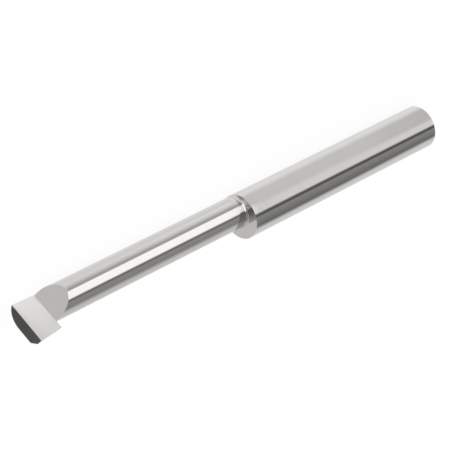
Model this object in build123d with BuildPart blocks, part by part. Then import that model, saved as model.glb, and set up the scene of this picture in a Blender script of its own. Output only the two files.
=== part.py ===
"""Solid carbide boring bar, ground from one round rod.

The bar lies along X with its cutting head at the +X end. The origin is the centre of
the shank's rear end face. The tip points along +Z and the rake face looks along -Y.
All lengths are in millimetres and all angles in degrees.
"""

import os
from math import cos, radians, sin, tan

from build123d import *

# Rod and shank
shank_diameter = 6.35
overall_length = 76.2
rear_chamfer = 0.1

# Neck, turned round an axis set off towards the bar's back
reach = 38.1  # from the shoulder to the cutting tip
neck_diameter = 4.5
neck_back_gap = 0.025  # from the neck's back line in to the shank's back line
shoulder_radius = 0.35  # where the neck runs into the shoulder

# Head
head_length = 3.8
head_corner_radius = 0.2  # where the neck runs into the head's rear face
tip_inset = 0.25  # from the tip in to the shank's side line
side_relief = 15.0  # the flank under the side cutting edge
side_land = 1.15  # height of that flank
heel_angle = 43.0  # the second flank, from the first down to the underside
back_clearance = 6.0  # the side cutting edge falls away towards the shank
end_relief = 3.0  # the end face falls away under the front cutting edge
end_edge_angle = 0.8  # the front cutting edge falls away from the tip

# Rake face and the slope that runs it out of the neck
rake_angle = 3.5
runout_angle = 45.0
runout_radius = 0.15

# Worked out from the sizes above
shank_radius = shank_diameter / 2
neck_radius = neck_diameter / 2
neck_offset = shank_radius - neck_radius - neck_back_gap
shoulder_x = overall_length - reach
head_rear_x = overall_length - head_length
tip_z = shank_radius - tip_inset
past_rod = shank_diameter  # far enough out to clear the rod on every side


def flank_stock():
    """Points (Y, Z) round what is ground off the tip side of the head, at the front."""
    land_z = tip_z - side_land * tan(radians(side_relief))
    heel_slope = tan(radians(heel_angle))
    return [
        (-past_rod, tip_z),
        (0, tip_z),
        (side_land, land_z),
        (past_rod, land_z - (past_rod - side_land) * heel_slope),
        (past_rod, past_rod),
        (-past_rod, past_rod),
    ]


def rake_stock():
    """Points (X, Y) round what is ground off over the rake face and its run-out."""
    rake_slope = tan(radians(rake_angle))
    rear_y = head_length * rake_slope
    front_x = overall_length + head_length
    runout_length = (past_rod + rear_y) / tan(radians(runout_angle))
    return [
        (front_x, rear_y - (front_x - head_rear_x) * rake_slope),
        (head_rear_x, rear_y),
        (head_rear_x - runout_length, -past_rod),
        (front_x, -past_rod),
    ]


with BuildPart() as boring_bar:
    # The rod, at the shank's diameter from end to end.
    with BuildSketch(Plane.YZ):
        Circle(shank_radius)
    extrude(amount=overall_length)

    # The neck: what lies outside it is turned away round the offset axis.
    with BuildSketch(Plane.XZ) as neck_stock:
        with Locations((shoulder_x, neck_radius - neck_offset)):
            Rectangle(
                head_rear_x - shoulder_x, past_rod, align=(Align.MIN, Align.MIN)
            )
        inner_corners = neck_stock.vertices().group_by(Axis.Y)[0]
        fillet(inner_corners.sort_by(Axis.X)[0], shoulder_radius)
        inner_corners = neck_stock.vertices().group_by(Axis.Y)[0]
        fillet(inner_corners.sort_by(Axis.X)[-1], head_corner_radius)
    revolve(axis=Axis((0, 0, -neck_offset), (1, 0, 0)), mode=Mode.SUBTRACT)

    # The head's back is as round as the neck, and its underside is flat, level with
    # the neck's lowest line.
    with BuildSketch(Plane.YZ.offset(overall_length)):
        Circle(past_rod)
        with Locations((0, -neck_offset)):
            Circle(neck_radius, mode=Mode.SUBTRACT)
            Rectangle(
                neck_diameter,
                past_rod,
                align=(Align.CENTER, Align.MIN),
                mode=Mode.SUBTRACT,
            )
    extrude(amount=-(head_length + head_corner_radius), mode=Mode.SUBTRACT)

    # The tip side of the head: two flanks that close in towards the shank.
    clearance = radians(back_clearance)
    with BuildSketch(Plane.YZ.offset(overall_length)):
        Polygon(*flank_stock(), align=None)
    extrude(
        amount=head_length / cos(clearance),
        dir=(-cos(clearance), 0, -sin(clearance)),
        mode=Mode.SUBTRACT,
    )

    # The end face leans back under the front cutting edge.
    split(
        bisect_by=Plane(
            origin=(overall_length, 0, tip_z),
            z_dir=(1, tan(radians(end_relief)), -tan(radians(end_edge_angle))),
        ),
        keep=Keep.BOTTOM,
    )

    # The rake face and its run-out, ground in one pass from the -Y side.
    with BuildSketch(Plane.XY) as rake_cut:
        Polygon(*rake_stock(), align=None)
        fillet(rake_cut.vertices().sort_by(Axis.Y)[-1], runout_radius)
    extrude(amount=past_rod, both=True, mode=Mode.SUBTRACT)

    # The rear end's broken edge.
    chamfer(boring_bar.faces().sort_by(Axis.X)[0].edges(), rear_chamfer)

boring_bar.part.label = "boring_bar"

os.makedirs("parts", exist_ok=True)
export_step(boring_bar.part, "parts/boring_bar.step")
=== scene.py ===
"""A solid carbide boring bar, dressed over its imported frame.

The bar lies along X with its cutting head at the +X end, the cutting tip up and the
rake face towards -Y. Lengths are in metres here; the grinding tree works in
millimetres inside, because its cutters are too fine for metres.
"""

from math import cos, radians, sin, tan

import bmesh
import bpy
from mathutils import Matrix, Vector


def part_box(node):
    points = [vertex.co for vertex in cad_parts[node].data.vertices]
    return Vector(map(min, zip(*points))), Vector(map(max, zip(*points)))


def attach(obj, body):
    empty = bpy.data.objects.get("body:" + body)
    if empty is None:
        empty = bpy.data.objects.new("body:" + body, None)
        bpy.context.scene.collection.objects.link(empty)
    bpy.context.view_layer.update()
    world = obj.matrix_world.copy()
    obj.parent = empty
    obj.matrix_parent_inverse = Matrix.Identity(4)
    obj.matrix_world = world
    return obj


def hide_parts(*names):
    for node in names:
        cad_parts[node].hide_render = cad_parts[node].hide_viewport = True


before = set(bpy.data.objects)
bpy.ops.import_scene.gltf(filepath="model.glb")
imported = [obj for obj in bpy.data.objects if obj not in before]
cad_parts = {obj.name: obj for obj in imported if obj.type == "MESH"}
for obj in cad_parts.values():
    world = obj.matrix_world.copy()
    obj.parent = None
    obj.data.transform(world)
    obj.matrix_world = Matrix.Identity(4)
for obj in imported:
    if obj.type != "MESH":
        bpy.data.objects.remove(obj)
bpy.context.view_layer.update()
BAR_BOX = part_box("boring_bar")

bl_info = {
    "name": "Boring bar",
    "version": (1, 0, 0),
    "blender": (4, 5, 0),
    "location": "View3D > Sidebar > Boring bar",
    "description": "Grinds a solid carbide boring bar and sets it on a plain stage",
    "category": "Object",
}

MM = 0.001
FLOOR_Z = -3.175 * MM
FLOOR_HALF = 3.0  # half the floor's side, in metres

# Where the bar ends and where its shoulder stands, in millimetres.
REACH = 38.1
BAR_LENGTH = round((BAR_BOX[1][0] - BAR_BOX[0][0]) / MM, 3)
SHOULDER_X = BAR_LENGTH - REACH

# The bar's material slots.
SHANK, NECK, RAKE, FLANK, END, FACE = range(6)

# The cutters, in millimetres.
SPARE = 1.0  # how far a cutter reaches past what it cuts
HAIR = 0.0005  # keeps the head's two round corners from running into each other
FILLET_STEPS = 16  # round the neck's fillets
TROUGH_STEPS = 12  # round the corner behind the rake face

# How near to each other two corners of a shape become one, in millimetres.
OUTLINE_MERGE = 0.0005
PRISM_MERGE = 0.0001
BAR_MERGE = 0.0015

# How near a corner lies to the true surface that it is on, and how nearly two
# directions are the same, as the cosine between them.
NEAR = 0.004 * MM
ALIGNED = 0.98
RAKE_SIDE = -0.5  # a flat whose normal has less Y than this is on the rake side

# The grinding lines: pitch and length of the fine and the broad ones, the size of the
# soft marks, all in millimetres, and how much each counts in the lines' pattern.
FINE_LINES = (0.025, 2.5)
BROAD_LINES = (0.22, 4.0)
MARK_SIZE = 2.6
FINE_PART, BROAD_PART, MARK_PART = 0.45, 0.35, 0.2
PATTERN_RANGE = (0.3, 0.7)
LINE_HEIGHT = 0.001 * MM

# What the roughness is multiplied by, at rest and as the broad lines and marks add.
ROUGH_REST, ROUGH_BROAD, ROUGH_MARKS = 0.75, 0.3, 0.2
FACE_COARSER = 1.5  # the shoulder's roughness, in the neck's

# The painted highlight at the front of the rake face, standing in for light on the honed
# edge: where it lightens, and how far.
PAINTED_EDGE_HIGHLIGHT = (BAR_LENGTH - 0.25, BAR_LENGTH - 0.1)
HIGHLIGHT_MIX, HIGHLIGHT_GAIN = 0.8, 1.2

# The studio cards, in millimetres. A level is a brightness, and the floor's white is 1.
ARCH_RADIUS = 80.0
ARCH_STEP = 3  # degrees from row to row
CARD_Z = FLOOR_Z / MM + 0.01
CARD_START = 2.2  # how far out from the bar's middle a card's slant starts
JOIN_X = SHOULDER_X + 0.1  # where the shank's floor card meets the neck's

RUNOUT_LEVEL = 0.62  # of the floor and the blades at the run-out
EDGE_DIM, EDGE_TURN = 0.85, 46.0  # how much the edge arch dims, and up to which angle

# The arches' bands, as (angle, level). The angle is nought on the level at the rake
# side, and grows up and over, in degrees.
NECK_BANDS = (
    (-2.0, 0.6),
    (0.0, 0.6),
    (0.5, 1.5),
    (44.5, 1.5),
    (54.0, 0.22),
    (60.0, 0.22),
    (72.0, 0.38),
    (95.0, 0.32),
    (105.0, 0.38),
    (125.0, 0.76),
    (200.0, 0.8),
)
SHANK_BANDS = (
    (-2.0, 0.82),
    (18.0, 0.97),
    (45.0, 1.0),
    (52.0, 0.25),
    (57.0, 0.1),
    (60.0, 0.1),
    (68.0, 0.33),
    (77.0, 0.33),
    (114.0, 0.2),
    (134.0, 0.87),
    (200.0, 0.8),
)
REAR_BANDS = (
    (-2.0, 0.73),
    (13.0, 0.75),
    (22.0, 0.97),
    *SHANK_BANDS[2:8],
    (108.0, 0.2),
    (128.0, 0.88),
    (200.0, 0.8),
)
FAR_BANDS = (
    (-2.0, 0.9),
    (0.0, 0.9),
    (0.5, 3.0),
    (40.0, 3.0),
    (50.0, 0.3),
    (56.0, 0.25),
    (63.0, 0.4),
    (105.0, 0.38),
    (125.0, 0.7),
    (200.0, 0.7),
)
CORNER_BANDS = (
    (-2.0, 0.9),
    (0.0, 0.9),
    (0.5, 3.0),
    (40.0, 3.0),
    (48.0, 0.17),
    (92.0, 0.17),
    (140.0, 0.7),
    (200.0, 0.7),
)
FACE_BANDS = (
    (-2.0, 0.7),
    (16.0, 0.55),
    (26.0, 0.55),
    (44.0, 0.2),
    (71.0, 0.2),
    (90.0, 0.35),
    (160.0, 0.72),
    (200.0, 0.72),
)
FRONT_BANDS = (
    (-2.0, 0.45),
    (30.0, 0.4),
    (50.0, 0.18),
    (90.0, 0.18),
    (160.0, 0.6),
    (200.0, 0.6),
)
# Dimmer low down beside the neck's brighter arch, whose light a polished shank spreads.
EDGE_BANDS = tuple(
    (turn, level * EDGE_DIM if turn < EDGE_TURN else level) for turn, level in SHANK_BANDS
)

# The sills, as (height, level), or with a level for each end.
NECK_SILL = (
    (CARD_Z, 1.09, 1.0),
    (-2.2, 1.09, 1.0),
    (-1.5, 0.93, 0.86),
    (-0.8, 0.5, 0.5),
    (-0.4, 0.6, 0.6),
)
CORNER_SILL = (
    (-2.6, 0.75),
    (-1.5, 0.55),
    (-0.8, 1.15),
    (-0.3, 1.05),
    (0.45, 0.36),
)

# The floor's cards, as (distance out from the bar, level), or with a level for each end.
SHANK_FLOOR = (
    (2.2, 1.07),
    (3.2, 1.07),
    (4.7, 0.84),
    (79.0, 0.82),
)
REAR_FLOOR = (
    (2.2, 1.07),
    (3.0, 1.07),
    (4.6, 0.71, 0.84),
    (79.0, 0.68, 0.82),
)
RAKE_FLOOR = (
    (0.2, 0.99),
    (12.6, 0.84),
    (79.0, 0.84),
)
RUNOUT_FLOOR = (
    (1.05, RUNOUT_LEVEL),
    (79.0, RUNOUT_LEVEL),
)

# Each arch: where it starts and ends along the bar, and its bands at both ends.
ARCHES = (
    ("rear_arch", -150.0, -75.0, REAR_BANDS, REAR_BANDS),
    ("long_arch", -75.0, -52.0, REAR_BANDS, SHANK_BANDS),
    ("shank_arch", -52.0, -31.0, SHANK_BANDS, SHANK_BANDS),
    ("edge_arch", -31.0, -27.0, SHANK_BANDS, EDGE_BANDS),
    ("neck_arch", -27.0, 80.0, NECK_BANDS, NECK_BANDS),
    ("far_arch", 80.0, 103.1, FAR_BANDS, FAR_BANDS),
    ("corner_arch", 103.1, 103.9, FAR_BANDS, CORNER_BANDS),
    ("face_arch", 103.9, 109.0, FACE_BANDS, FACE_BANDS),
    ("front_arch", 109.0, 420.0, FRONT_BANDS, FRONT_BANDS),
)

# Each sill: its (x, y) at both ends. The corner's has its front turned to the shoulder,
# so only what the shoulder sends back sees it.
SILLS = (
    ("neck_sill", (SHOULDER_X, -3.0), (69.2, -3.0), NECK_SILL),
    ("corner_sill", (39.0, -2.0), (39.0, -3.0), CORNER_SILL),
)

# Each card on the floor: where it starts along the bar and how it slants, at both ends.
FLOOR_CARDS = (
    ("shank_floor", 15.0, 0.92, JOIN_X, 0.85, SHANK_FLOOR),
    ("rear_floor", -4.0, 1.1, 15.0, 0.92, REAR_FLOOR),
    ("rake_floor", JOIN_X, 0.85, 74.0, 0.92, RAKE_FLOOR),
    ("runout_floor", 74.0, 0.92, 95.0, 0.7, RUNOUT_FLOOR),
)

# Each flag, an even card on the floor: its level, and its sides along X and Y.
FLAGS = (
    ("front_flag", 0.092, (76.0, 91.0), (-1.0, 19.0)),
    ("back_floor", 0.85, (-150.0, 75.9), (2.6, 79.0)),
)

# Each blade at the run-out: the (x, y) and the top of its near end, and how far it goes
# in X and Y. The first shows its clear back to the rake face, and the low one is at its foot.
BLADES = (
    ("runout_blade", (73.1, -0.38), 1.9, (-2.6, -3.47)),
    ("runout_foot", (72.72, 0.12), -2.5, (-2.1, -2.1)),
)


# ---------------------------------------------------------------- sizes and colours


def length(name, description, millimetres):
    """A length in the sidebar."""
    return bpy.props.FloatProperty(
        name=name,
        description=description,
        default=millimetres * MM,
        min=0.0,
        precision=5,
        subtype="DISTANCE",
        unit="LENGTH",
    )


def angle(name, description, degrees):
    """An angle in the sidebar."""
    return bpy.props.FloatProperty(
        name=name,
        description=description,
        default=radians(degrees),
        subtype="ANGLE",
        unit="ROTATION",
    )


def share(name, description, default, most=1.0):
    """A plain number from nought up in the sidebar."""
    return bpy.props.FloatProperty(
        name=name,
        description=description,
        default=default,
        min=0.0,
        max=most,
        subtype="FACTOR",
    )


def colour(name, description, default):
    """A colour in the sidebar."""
    return bpy.props.FloatVectorProperty(
        name=name,
        description=description,
        default=default,
        min=0.0,
        max=1.0,
        size=3,
        subtype="COLOR",
    )


class BarSizes(bpy.types.PropertyGroup):
    """Sizes of the bar, as it is ground."""

    shank_diameter: length("Shank diameter", "Diameter of the round shank", 6.35)
    overall_length: length(
        "Overall length", "From the shank's end to the cutting tip", BAR_LENGTH
    )
    rear_chamfer: length("Rear chamfer", "Broken edge of the shank's end", 0.1)
    reach: length("Reach", "From the shoulder to the cutting tip", REACH)
    neck_diameter: length("Neck diameter", "Diameter of the neck", 4.5)
    neck_back_gap: length(
        "Neck back gap", "From the shank's back line in to the neck's", 0.025
    )
    shoulder_radius: length("Shoulder radius", "Where the neck meets the shank", 0.35)
    head_length: length("Head length", "From the head's rear to the tip", 3.8)
    head_corner_radius: length(
        "Head corner radius", "Where the neck meets the head", 0.2
    )
    tip_inset: length("Tip inset", "From the shank's side line in to the tip", 0.25)
    side_relief: angle("Side relief", "Slope of the first flank", 15.0)
    side_land: length("Side land", "Width of the first flank", 1.15)
    heel_angle: angle("Heel angle", "Slope of the second flank", 43.0)
    back_clearance: angle("Back clearance", "Fall of the side edge to the rear", 6.0)
    end_relief: angle("End relief", "Slope of the end face", 3.0)
    end_edge_angle: angle("End edge angle", "Fall of the front cutting edge", 0.8)
    rake_angle: angle("Rake angle", "Slope of the rake face", 3.5)
    runout_angle: angle("Run-out angle", "Slope behind the rake face", 45.0)
    runout_radius: length("Run-out radius", "Corner behind the rake face", 0.15)
    facets: bpy.props.IntProperty(
        name="Facets", description="Facets round the bar", default=360, min=48
    )


class BarFinish(bpy.types.PropertyGroup):
    """Colours and polish of the ground carbide."""

    round_colour: colour(
        "Round faces", "Carbide on the shank and the neck", (0.62, 0.61, 0.59)
    )
    # Painted light: a lighter copy of the same carbide, so that the flats read brighter.
    flat_lit_colour: colour(
        "Flat faces", "Carbide on the rake face and flanks", (0.76, 0.75, 0.73)
    )
    # Painted shade: a darker copy of the same carbide on the shoulder and the shank's end.
    face_shaded_colour: colour(
        "End faces", "Carbide on the shoulder and the shank's end", (0.56, 0.55, 0.535)
    )
    shank_roughness: share("Shank roughness", "Polish of the shank", 0.07)
    neck_roughness: share("Neck roughness", "Polish of the neck", 0.06)
    flat_roughness: share("Flat roughness", "Polish of the ground flats", 0.16)
    line_depth: share("Line depth", "How deep the grinding lines look", 0.3)
    line_shade: share("Line shade", "How much the lines change the colour", 0.05)


class StageLook(bpy.types.PropertyGroup):
    """The floor, the light and the camera."""

    floor_colour: colour("Floor", "Colour of the floor and backdrop", (1.0, 1.0, 1.0))
    world_strength: share("World light", "Strength of the even light", 1.0, 2.0)
    shadow: share("Shadow", "How much of the bar's shadow the floor shows", 0.08)
    azimuth: angle("Azimuth", "Where the camera looks, seen from above", 41.93)
    elevation: angle("Elevation", "How steeply the camera looks down", 18.15)
    roll: angle("Roll", "How far the camera is turned on its axis", 137.66)
    distance: length("Distance", "From the camera to its aim", 280.67)
    aim: bpy.props.FloatVectorProperty(
        name="Aim",
        description="The point that the camera looks at",
        default=(39.844 * MM, 1.357 * MM, -0.475 * MM),
        size=3,
        subtype="TRANSLATION",
        unit="LENGTH",
    )
    lens: bpy.props.FloatProperty(
        name="Lens", description="Focal length", default=167.04, unit="CAMERA"
    )


# ---------------------------------------------------------------- nodes


class Wire:
    """A node's output, with sums that add Math nodes to its tree."""

    def __init__(self, graph, socket):
        self.graph = graph
        self.socket = socket

    def sum(self, operation, *values):
        return self.graph.node("ShaderNodeMath", {"operation": operation}, values)

    def __add__(self, other):
        return self.sum("ADD", self, other)

    def __radd__(self, other):
        return self.sum("ADD", other, self)

    def __sub__(self, other):
        return self.sum("SUBTRACT", self, other)

    def __rsub__(self, other):
        return self.sum("SUBTRACT", other, self)

    def __mul__(self, other):
        return self.sum("MULTIPLY", self, other)

    def __rmul__(self, other):
        return self.sum("MULTIPLY", other, self)

    def __truediv__(self, other):
        return self.sum("DIVIDE", self, other)

    def __rtruediv__(self, other):
        return self.sum("DIVIDE", other, self)

    def __neg__(self):
        return self.sum("MULTIPLY", self, -1.0)


class Graph:
    """Adds nodes to one tree."""

    def __init__(self, tree):
        self.tree = tree
        tree.nodes.clear()

    def node(self, kind, settings=None, sockets=None, out=0):
        """Adds a node: its settings first, then its sockets, and returns one output."""
        made = self.tree.nodes.new(kind)
        for name, value in (settings or {}).items():
            if name == "items":
                for _ in range(value - len(made.index_switch_items)):
                    made.index_switch_items.new()
            else:
                setattr(made, name, value)
        if not isinstance(sockets, dict):
            sockets = dict(enumerate(sockets or ()))
        for key, value in sockets.items():
            several = value if isinstance(value, list) else [value]
            for one in several:
                if isinstance(one, Wire):
                    self.tree.links.new(one.socket, made.inputs[key])
                elif one is not None:
                    made.inputs[key].default_value = one
        return Wire(self, made.outputs[out]) if made.outputs else made

    def point(self, x=0.0, y=0.0, z=0.0):
        """A vector from three numbers or wires."""
        return self.node("ShaderNodeCombineXYZ", {}, (x, y, z))


# ---------------------------------------------------------------- the grinding tree


class Grinding(Graph):
    """Geometry nodes that grind the bar from a rod, one cutter for each pass."""

    def __init__(self, name):
        tree = bpy.data.node_groups.new(name, "GeometryNodeTree")
        super().__init__(tree)
        self.group = tree.nodes.new("NodeGroupInput")

    def given(self, name, kind="NodeSocketFloat"):
        """A named input of the tree."""
        socket = self.tree.interface.new_socket(name, in_out="INPUT", socket_type=kind)
        wires = {one.identifier: one for one in self.group.outputs}
        return Wire(self, wires[socket.identifier])

    def tangent(self, turn):
        return self.node("ShaderNodeMath", {"operation": "TANGENT"}, (turn,))

    def pick(self, kind, *values):
        """One value for each point of a curve, by the point's number."""
        index = self.node("GeometryNodeInputIndex")
        settings = {"data_type": kind, "items": len(values)}
        return self.node("GeometryNodeIndexSwitch", settings, (index, *values))

    def circle(self, facets, radius):
        settings = {"mode": "RADIUS"}
        sockets = {0: facets, 4: radius}
        return self.node("GeometryNodeCurvePrimitiveCircle", settings, sockets)

    def polygon(self, corners, radii, steps):
        """The outline of a four-cornered profile in the XY plane with rounded corners."""
        sockets = {7 + n: self.point(*corner) for n, corner in enumerate(corners)}
        outline = self.node(
            "GeometryNodeCurvePrimitiveQuadrilateral", {"mode": "POINTS"}, sockets
        )
        return self.node(
            "GeometryNodeFilletCurve",
            {"mode": "POLY"},
            {0: outline, 1: steps, 2: self.pick("FLOAT", *radii)},
        )

    def prism(self, outline, height):
        """Fills an outline and draws it out along Z into a closed solid."""
        face = self.node("GeometryNodeFillCurve", {"mode": "NGONS"}, (outline,))
        face = self.node("GeometryNodeMergeByDistance", {}, {0: face, 2: OUTLINE_MERGE})
        walls = self.node(
            "GeometryNodeExtrudeMesh",
            {"mode": "FACES"},
            {0: face, 2: self.point(0.0, 0.0, 1.0), 3: height, 4: False},
        )
        floor = self.node("GeometryNodeFlipFaces", {}, (face,))
        whole = self.node("GeometryNodeJoinGeometry", {}, {0: [walls, floor]})
        return self.node("GeometryNodeMergeByDistance", {}, {0: whole, 2: PRISM_MERGE})

    def move(self, shape, by=None, turn=None, size=None):
        return self.node("GeometryNodeTransform", {}, {0: shape, 1: by, 2: turn, 3: size})

    def flat(self, point, normal, depth):
        """A block that takes off what stands out of the plane through point."""
        block = self.node("GeometryNodeMeshCube", {}, {0: self.point(depth, depth, depth)})
        block = self.move(block, self.point(0.0, 0.0, depth / 2))
        turn = self.node("FunctionNodeAlignRotationToVector", {"axis": "Z"}, {2: normal})
        return self.move(block, point, turn)

    def less(self, shape, cutters):
        settings = {"operation": "DIFFERENCE", "solver": "EXACT"}
        return self.node("GeometryNodeMeshBoolean", settings, {0: shape, 1: cutters})


def grinding_tree():
    """Rod, neck, head, flanks, end face and rake face, in the order they are ground."""
    g = Grinding("boring_bar_grinding")
    shank_radius = g.given("Shank diameter") / (2 * MM)
    end_x = g.given("Overall length") / MM
    chamfer = g.given("Rear chamfer") / MM
    shoulder_x = end_x - g.given("Reach") / MM
    neck_radius = g.given("Neck diameter") / (2 * MM)
    neck_offset = shank_radius - neck_radius - g.given("Neck back gap") / MM
    shoulder_radius = g.given("Shoulder radius") / MM
    head_length = g.given("Head length") / MM
    corner_radius = g.given("Head corner radius") / MM
    tip_z = shank_radius - g.given("Tip inset") / MM
    side_relief = g.tangent(g.given("Side relief"))
    side_land = g.given("Side land") / MM
    heel = g.tangent(g.given("Heel angle"))
    clearance = g.tangent(g.given("Back clearance"))
    end_relief = g.tangent(g.given("End relief"))
    edge_fall = g.tangent(g.given("End edge angle"))
    rake = g.tangent(g.given("Rake angle"))
    runout = g.tangent(g.given("Run-out angle"))
    runout_radius = g.given("Run-out radius") / MM
    facets = g.given("Facets", "NodeSocketInt")
    finish = g.given("Shank finish", "NodeSocketMaterial")
    head_x = end_x - head_length
    past_rod = shank_radius * 2

    # The rod: a line along X with a circle of the right size at each of its points.
    line = g.node("GeometryNodeCurvePrimitiveLine", {}, {1: g.point(1.0, 0.0, 0.0)})
    line = g.node("GeometryNodeResampleCurve", {}, {0: line, 2: 3})
    stations = g.pick("VECTOR", g.point(), g.point(chamfer), g.point(end_x))
    line = g.node("GeometryNodeSetPosition", {}, {0: line, 2: stations})
    circle = g.circle(facets, 1.0)
    radii = g.pick("FLOAT", shank_radius - chamfer, shank_radius, shank_radius)
    rod = g.node("GeometryNodeCurveToMesh", {}, (line, circle, radii, True))

    # The ring that is turned away round the neck's offset axis.
    hoop = g.circle(facets, neck_radius)
    shoulder = -shoulder_x
    ring = g.polygon(
        ((0.0, shoulder), (0.0, -head_x), (past_rod, -head_x), (past_rod, shoulder)),
        (shoulder_radius, corner_radius, 0.0, 0.0),
        FILLET_STEPS,
    )
    ring = g.node("GeometryNodeCurveToMesh", {}, {0: hoop, 1: ring, 3: False})
    along = g.node(
        "FunctionNodeAxesToRotation",
        {"primary_axis": "Z", "secondary_axis": "X"},
        ((1.0, 0.0, 0.0), (0.0, 1.0, 0.0)),
    )
    ring = g.move(ring, g.point(0.0, 0.0, -neck_offset), along)

    # What is taken off round the head: all but a form as round as the neck below.
    start_x = head_x - corner_radius
    head_depth = head_length + corner_radius + SPARE
    wide = neck_radius - HAIR
    head = g.polygon(
        ((-wide, -wide), (wide, -wide), (wide, past_rod), (-wide, past_rod)),
        (wide, wide, 0.0, 0.0),
        facets / 4,
    )
    head = g.prism(head, head_depth + 2 * SPARE)
    head = g.move(head, g.point(start_x - SPARE, 0.0, -neck_offset), along)
    block = g.point(head_depth, past_rod * 3, past_rod * 3)
    block = g.node("GeometryNodeMeshCube", {}, {0: block})
    block = g.move(block, g.point(start_x + head_depth / 2, 0.0, 0.0))
    head_waste = g.less(block, head)

    # The flanks on the tip side: level at the tip, then two steps down.
    tip = g.point(end_x, 0.0, tip_z)
    heel_point = g.point(end_x, side_land, tip_z - side_land * side_relief)
    depth = past_rod * 2
    top = g.flat(tip, g.point(-clearance, 0.0, 1.0), depth)
    flank = g.flat(tip, g.point(-clearance, side_relief, 1.0), depth)
    second = g.flat(heel_point, g.point(-clearance, heel, 1.0), depth)
    end = g.flat(tip, g.point(1.0, end_relief, -edge_fall), depth * 2)

    # The rake face and its run-out, one pass from the -Y side.
    rear_y = head_length * rake
    front_x = end_x + head_length
    wedge = g.polygon(
        (
            (front_x, rear_y - (front_x - head_x) * rake),
            (head_x, rear_y),
            (head_x - (past_rod + rear_y) / runout, -past_rod),
            (front_x, -past_rod),
        ),
        (0.0, runout_radius, 0.0, 0.0),
        TROUGH_STEPS,
    )
    wedge = g.move(g.prism(wedge, past_rod * 2), g.point(0.0, 0.0, -past_rod))

    ground = g.less(rod, [ring, head_waste, top, flank, second, end, wedge])
    ground = g.node("GeometryNodeMergeByDistance", {}, {0: ground, 2: BAR_MERGE})
    ground = g.move(ground, size=(MM, MM, MM))
    ground = g.node("GeometryNodeRealizeInstances", {}, (ground,))
    ground = g.node("GeometryNodeSetMaterial", {}, {0: ground, 2: finish})
    g.tree.interface.new_socket("Bar", in_out="OUTPUT", socket_type="NodeSocketGeometry")
    g.node("NodeGroupOutput", {}, (ground,))
    return g.tree


def plain_mesh(source, name):
    """The mesh that an object's live modifiers give, as a new object at the origin."""
    bpy.context.view_layer.update()
    graph = bpy.context.evaluated_depsgraph_get()
    mesh = bpy.data.meshes.new_from_object(source.evaluated_get(graph))
    mesh.name = name
    bpy.data.objects.remove(source)
    made = bpy.data.objects.new(name, mesh)
    bpy.context.scene.collection.objects.link(made)
    return made


def grind_bar(sizes, finish, name):
    """Runs the grinding tree with these sizes and returns a plain closed mesh."""
    tree = grinding_tree()
    blank = bpy.data.objects.new("rod_blank", bpy.data.meshes.new("rod_blank"))
    bpy.context.scene.collection.objects.link(blank)
    modifier = blank.modifiers.new("Grinding", "NODES")
    modifier.node_group = tree
    inputs = {
        item.name: item.identifier
        for item in tree.interface.items_tree
        if item.in_out == "INPUT"
    }
    for key in BarSizes.__annotations__:
        label = sizes.bl_rna.properties[key].name
        modifier[inputs[label]] = getattr(sizes, key)
    modifier[inputs["Shank finish"]] = finish
    bar = plain_mesh(blank, name)
    bpy.data.node_groups.remove(tree)
    return bar


def flat_finish(polygon, head_start):
    """The finish of a flat face, by the way that it looks and where the head starts."""
    if abs(polygon.normal.x) > ALIGNED:
        return END if polygon.center.x > head_start else FACE
    return RAKE if polygon.normal.y < RAKE_SIDE else FLANK


def true_normals(bar, sizes):
    """Gives the round faces the normals of true cylinders, and every face its finish."""
    shank = sizes.shank_diameter / 2
    neck = sizes.neck_diameter / 2
    offset = shank - neck - sizes.neck_back_gap
    shoulder_x = sizes.overall_length - sizes.reach
    shoulder = (shoulder_x + sizes.shoulder_radius, sizes.shoulder_radius)
    head_x = sizes.overall_length - sizes.head_length
    corner = (head_x - sizes.head_corner_radius, sizes.head_corner_radius)
    head_start = head_x - 2 * sizes.head_corner_radius  # clear of the head's fillet
    rake = Vector((cos(sizes.rake_angle), -sin(sizes.rake_angle)))
    runout = Vector((-cos(sizes.runout_angle), -sin(sizes.runout_angle)))
    middle = (rake + runout).normalized()
    sink = sizes.runout_radius / sin(middle.angle(rake))
    trough = Vector((head_x, sizes.head_length * tan(sizes.rake_angle))) + middle * sink

    def on_shank(point):
        out = Vector((0.0, point.y, point.z))
        return abs(out.length - shank), out.normalized()

    def on_neck(point):
        out = Vector((0.0, point.y, point.z + offset))
        return abs(out.length - neck), out.normalized()

    def in_fillet(place, radius):
        def test(point):
            out = Vector((0.0, point.y, point.z + offset))
            reach = neck + radius - out.length
            gap = Vector((place - point.x, 0.0, 0.0)) + out.normalized() * reach
            return abs(gap.length - radius), gap.normalized()

        return test

    def in_trough(point):
        gap = Vector((trough.x - point.x, trough.y - point.y, 0.0))
        return abs(gap.length - sizes.runout_radius), gap.normalized()

    def on_chamfer(point):
        out = Vector((0.0, point.y, point.z))
        off = abs(shank - sizes.rear_chamfer + point.x - out.length)
        return off, (out.normalized() - Vector((1.0, 0.0, 0.0))).normalized()

    faces = (
        (on_shank, SHANK),
        (on_neck, NECK),
        (in_fillet(*shoulder), NECK),
        (in_fillet(*corner), NECK),
        (in_trough, RAKE),
        (on_chamfer, SHANK),
    )
    mesh = bar.data
    normals = [None] * len(mesh.loops)
    for polygon in mesh.polygons:
        points = [mesh.vertices[mesh.loops[n].vertex_index].co for n in polygon.loop_indices]
        found = [polygon.normal] * len(points)
        polygon.material_index = flat_finish(polygon, head_start)
        for face, finish in faces:
            tried = [face(point) for point in points]
            if all(gap < NEAR and polygon.normal.dot(way) > ALIGNED for gap, way in tried):
                found = [way for _, way in tried]
                polygon.material_index = finish
                break
        for n, way in zip(polygon.loop_indices, found):
            normals[n] = way
        polygon.use_smooth = True
    mesh.normals_split_custom_set(normals)


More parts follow.
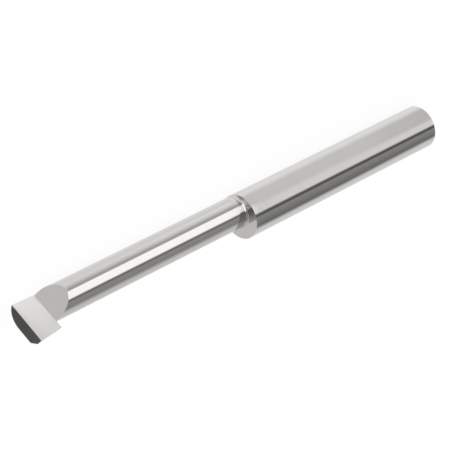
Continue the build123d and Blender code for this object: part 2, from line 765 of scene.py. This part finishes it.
def check_closed(obj):
    """Stops the script if the mesh is open, or inside out."""
    shape = bmesh.new()
    shape.from_mesh(obj.data)
    open_edges = sum(not edge.is_manifold for edge in shape.edges)
    volume = shape.calc_volume(signed=True)
    shape.free()
    if open_edges or volume <= 0:
        raise RuntimeError(f"{obj.name}: {open_edges} open edges, volume {volume}")


# ---------------------------------------------------------------- materials


class Finish(Graph):
    """A ground face: the lines that the wheel left, and marks of handling."""

    def __init__(self, name):
        self.material = bpy.data.materials.new(name)
        self.material.use_nodes = True
        super().__init__(self.material.node_tree)
        place = self.node("ShaderNodeTexCoord", out=3)
        parts = self.node("ShaderNodeSeparateXYZ", {}, (place,)).socket.node.outputs
        self.x, self.y, self.z = (Wire(self, part) / MM for part in parts)

    def across(self, way):
        """What grows from line to line: X, Z or the distance from the bar's axis."""
        if way == "RADIUS":
            return (self.y * self.y + self.z * self.z).sum("SQRT", None)
        return self.x if way == "X" else self.z

    def grain(self, way, pitch, run):
        """Lines of this pitch, which fade and come back over this run, in mm."""
        across = self.across(way) / pitch
        along = self.y if way == "X" else self.x
        other = self.z if way == "X" else self.y
        spot = self.point(across, along / run, other / run)
        return self.noise(spot, 2.0)

    def noise(self, spot, detail):
        return self.node("ShaderNodeTexNoise", {}, {0: spot, 2: 1.0, 3: detail})

    def marks(self, size):
        """Soft patches of this size in mm."""
        spot = self.point(self.x / size, self.y / size, self.z / size)
        return self.noise(spot, 3.0)

    def step(self, value, low, high):
        """Nought below low, one above high."""
        return self.node("ShaderNodeMapRange", {}, (value, low, high, 0.0, 1.0))

    def mix(self, share, first, second):
        settings = {"data_type": "RGBA"}
        return self.node("ShaderNodeMix", settings, {0: share, 6: first, 7: second}, out=2)


def shade(tint, gain):
    """A colour made lighter or darker."""
    return (*(min(channel * gain, 1.0) for channel in tint), 1.0)


def ground_carbide(look, name, tint, roughness, way, edge=None):
    """One finish of the carbide. Its lines lie square to way.

    edge is (from, to) along X, where a painted highlight lightens the face's colour towards
    the honed edge.
    """
    g = Finish(name)
    fine = g.grain(way, *FINE_LINES)
    broad = g.grain(way, *BROAD_LINES)
    marks = g.marks(MARK_SIZE)
    lines = fine * FINE_PART + broad * BROAD_PART + marks * MARK_PART
    depth = look.line_shade
    dark, light = shade(tint, 1.0 - depth), shade(tint, 1.0 + depth)
    colour_now = g.mix(g.step(lines, *PATTERN_RANGE), dark, light)
    # Painted highlight: the base colour lightens towards the front cutting edge.
    if edge:
        edge_highlight = g.step(g.x, *edge)
        colour_now = g.mix(edge_highlight * HIGHLIGHT_MIX, colour_now, shade(tint, HIGHLIGHT_GAIN))
    rough = roughness * (ROUGH_REST + broad * ROUGH_BROAD + marks * ROUGH_MARKS)
    relief = {"Strength": look.line_depth, "Distance": LINE_HEIGHT, "Height": fine}
    bump = g.node("ShaderNodeBump", {}, relief)
    shader = g.node(
        "ShaderNodeBsdfPrincipled",
        {},
        {"Base Color": colour_now, "Metallic": 1.0, "Roughness": rough, "Normal": bump},
    )
    g.node("ShaderNodeOutputMaterial", {}, {"Surface": shader})
    return g.material


def carbide_finishes(look):
    """The bar's finishes, in the order of its material slots."""
    face_roughness = look.neck_roughness * FACE_COARSER
    made = []
    for name, tint, roughness, way, edge in (
        ("shank_ground", look.round_colour, look.shank_roughness, "X", None),
        ("neck_ground", look.round_colour, look.neck_roughness, "X", None),
        ("rake_ground", look.flat_lit_colour, look.flat_roughness, "X", PAINTED_EDGE_HIGHLIGHT),
        ("flank_ground", look.flat_lit_colour, look.flat_roughness, "X", None),
        ("end_ground", look.flat_lit_colour, look.flat_roughness, "Z", None),
        ("face_ground", look.face_shaded_colour, face_roughness, "RADIUS", None),
    ):
        made.append(ground_carbide(look, name, tint, roughness, way, edge))
    return made


# ---------------------------------------------------------------- operators


class BORINGBAR_OT_bar(bpy.types.Operator):
    """Grinds the bar from its rod and gives it its finish"""

    bl_idname = "boringbar.bar"
    bl_label = "Boring bar"

    def execute(self, context):
        sizes = context.scene.boringbar_sizes
        look = context.scene.boringbar_finish
        finishes = carbide_finishes(look)
        bar = grind_bar(sizes, finishes[0], "ground_bar")
        bar.data.materials.clear()
        for finish in finishes:
            bar.data.materials.append(finish)
        true_normals(bar, sizes)
        check_closed(bar)
        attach(bar, "root")
        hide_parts("boring_bar")
        return {"FINISHED"}


class BORINGBAR_OT_stage(bpy.types.Operator):
    """Sets the floor, the light and the camera"""

    bl_idname = "boringbar.stage"
    bl_label = "Stage"

    def execute(self, context):
        look = context.scene.boringbar_stage
        context.scene.view_settings.view_transform = "Standard"
        world = bpy.data.worlds.new("studio")
        world.use_nodes = True
        g = Graph(world.node_tree)
        glow = g.node(
            "ShaderNodeBackground", {}, ((*look.floor_colour, 1.0), look.world_strength)
        )
        g.node("ShaderNodeOutputWorld", {}, {"Surface": glow})
        context.scene.world = world
        lay_floor(look)
        hang_cards()
        set_camera(look)
        return {"FINISHED"}


def lay_floor(look):
    """A wide plain floor. What looks at it sees it white, with some of the shadow."""
    mesh = bpy.data.meshes.new("floor")
    signs = ((-1, -1), (1, -1), (1, 1), (-1, 1))
    spots = [(x * FLOOR_HALF, y * FLOOR_HALF, FLOOR_Z) for x, y in signs]
    mesh.from_pydata(spots, [], [(0, 1, 2, 3)])
    floor = bpy.data.objects.new("floor", mesh)
    bpy.context.scene.collection.objects.link(floor)
    material = bpy.data.materials.new("floor")
    material.use_nodes = True
    g = Graph(material.node_tree)
    white = (*look.floor_colour, 1.0)
    matt = g.node("ShaderNodeBsdfDiffuse", {}, {"Color": white})
    glow = g.node("ShaderNodeEmission", {}, {"Color": white, "Strength": 1.0})
    camera = g.node("ShaderNodeLightPath", out=0)
    path = camera.socket.node
    glossy = Wire(g, path.outputs["Is Glossy Ray"])
    through = Wire(g, path.outputs["Is Transmission Ray"])
    seen = camera.sum("MAXIMUM", camera, camera.sum("MAXIMUM", glossy, through))
    mixed = g.node("ShaderNodeMixShader", {}, (seen * (1.0 - look.shadow), matt, glow))
    g.node("ShaderNodeOutputMaterial", {}, {"Surface": mixed})
    mesh.materials.append(material)


def card_glow():
    """Light of the strength that each corner of a card is given, on its front only."""
    material = bpy.data.materials.new("card_glow")
    material.use_nodes = True
    g = Graph(material.node_tree)
    level = g.node("ShaderNodeAttribute", {"attribute_name": "level"}, out=2)
    glow = g.node("ShaderNodeEmission", {}, {"Color": level, "Strength": 1.0})
    behind = g.node("ShaderNodeNewGeometry", out=6)
    clear = g.node("ShaderNodeBsdfTransparent")
    either = g.node("ShaderNodeMixShader", {}, (behind, glow, clear))
    g.node("ShaderNodeOutputMaterial", {}, {"Surface": either})
    return material


def hang_card(name, rows, glow):
    """A studio card that only reflections see.

    Each row is one line across it, from (place, level) to (place, level), in mm.
    """
    ends = [end for row in rows for end in row]
    faces = [(2 * n, 2 * n + 1, 2 * n + 3, 2 * n + 2) for n in range(len(rows) - 1)]
    mesh = bpy.data.meshes.new(name)
    mesh.from_pydata([Vector(place) * MM for place, _ in ends], [], faces)
    first = mesh.polygons[0]
    if first.normal.yz.dot(first.center.yz) > 0:
        mesh.flip_normals()
    levels = mesh.attributes.new("level", "FLOAT", "POINT")
    levels.data.foreach_set("value", [level for _, level in ends])
    mesh.materials.append(glow)
    card = bpy.data.objects.new(name, mesh)
    bpy.context.scene.collection.objects.link(card)
    card.visible_camera = False
    card.visible_diffuse = False
    card.visible_transmission = False
    card.visible_shadow = False


def between(stops, place):
    """The level at a place on a list of (place, level) stops."""
    for (from_place, from_level), (to_place, to_level) in zip(stops, stops[1:]):
        if place <= to_place:
            part = (place - from_place) / (to_place - from_place)
            return from_level + (to_level - from_level) * part
    return stops[-1][1]


def arch_rows(from_x, to_x, stops, to_stops):
    """Rows of a card bent round the bar, with the levels of its near and far end."""
    turns = {float(turn) for turn in range(0, int(stops[-1][0]), ARCH_STEP)}
    turns |= {turn for turn, _ in (*stops, *to_stops)}
    rows = []
    for turn in sorted(turns):
        y, z = -ARCH_RADIUS * cos(radians(turn)), ARCH_RADIUS * sin(radians(turn))
        near, far = between(stops, turn), between(to_stops, turn)
        rows.append((((from_x, y, z), near), ((to_x, y, z), far)))
    return rows


def floor_rows(near, slant, far, far_slant, stops):
    """Rows of a card on the floor beside the bar, with a level for each distance.

    The card's two ends start at near and far along the bar and lean back with the
    distance, as what the bar reflects does. A stop may have a level for each end.
    """
    rows = []
    for y, *levels in stops:
        out = y - CARD_START
        near_spot = (near - slant * out, -y, CARD_Z)
        far_spot = (far - far_slant * out, -y, CARD_Z)
        rows.append(((near_spot, levels[0]), (far_spot, levels[-1])))
    return rows


def sill_rows(near, far, stops):
    """Rows of an upright card between two places beside the bar, from its foot up."""
    return [(((*near, z), levels[0]), ((*far, z), levels[-1])) for z, *levels in stops]


def flag_rows(level, along, across):
    """Rows of an even card on the floor, from its sides along X and Y."""
    return [[((x, y, CARD_Z), level) for x in along] for y in across]


def blade_rows(near, top, way):
    """Rows of an even upright card at the run-out, from its top down to the floor."""
    far = (near[0] + way[0], near[1] + way[1])
    return [(((*near, z), RUNOUT_LEVEL), ((*far, z), RUNOUT_LEVEL)) for z in (top, CARD_Z)]


def hang_cards():
    """The cards round the bar that make the bands in its reflections."""
    glow = card_glow()
    for rows_of, cards in (
        (arch_rows, ARCHES),
        (sill_rows, SILLS),
        (floor_rows, FLOOR_CARDS),
        (flag_rows, FLAGS),
        (blade_rows, BLADES),
    ):
        for name, *places in cards:
            hang_card(name, rows_of(*places), glow)


def set_camera(look):
    """Places the camera by where it looks, its aim and its roll."""
    flat = cos(look.elevation)
    across = (sin(look.azimuth) * -flat, cos(look.azimuth) * flat)
    view = Vector((*across, -sin(look.elevation)))
    turn = view.to_track_quat("-Z", "Y").to_matrix() @ Matrix.Rotation(look.roll, 3, "Z")
    lens = bpy.data.cameras.new("camera")
    lens.lens = look.lens
    lens.clip_start = 0.01
    place = Vector(look.aim) - view * look.distance
    camera = bpy.data.objects.new("camera", lens)
    camera.matrix_world = Matrix.LocRotScale(place, turn, None)
    bpy.context.scene.collection.objects.link(camera)
    bpy.context.scene.camera = camera


class BORINGBAR_PT_tools(bpy.types.Panel):
    """Lists the bar's pieces and the stage"""

    bl_idname = "BORINGBAR_PT_tools"
    bl_label = "Boring bar"
    bl_space_type = "VIEW_3D"
    bl_region_type = "UI"
    bl_category = "Boring bar"

    def draw(self, context):
        for operator in OPERATORS:
            self.layout.operator(operator.bl_idname)
        for group in SETTINGS:
            column = self.layout.column()
            settings = getattr(context.scene, group)
            for key in SETTINGS[group].__annotations__:
                column.prop(settings, key)


OPERATORS = (BORINGBAR_OT_bar, BORINGBAR_OT_stage)
SETTINGS = {
    "boringbar_sizes": BarSizes,
    "boringbar_finish": BarFinish,
    "boringbar_stage": StageLook,
}


def register():
    for group in SETTINGS:
        bpy.utils.register_class(SETTINGS[group])
        setattr(bpy.types.Scene, group, bpy.props.PointerProperty(type=SETTINGS[group]))
    for one in (*OPERATORS, BORINGBAR_PT_tools):
        bpy.utils.register_class(one)


def unregister():
    for one in (BORINGBAR_PT_tools, *reversed(OPERATORS)):
        bpy.utils.unregister_class(one)
    for group in reversed(SETTINGS):
        delattr(bpy.types.Scene, group)
        bpy.utils.unregister_class(SETTINGS[group])


def corners(bounds):
    """A box's two corners as plain lists."""
    return [[float(value) for value in corner] for corner in bounds]


def main():
    register()
    bpy.ops.boringbar.bar()
    bpy.ops.boringbar.stage()


if __name__ == "__main__":
    main()
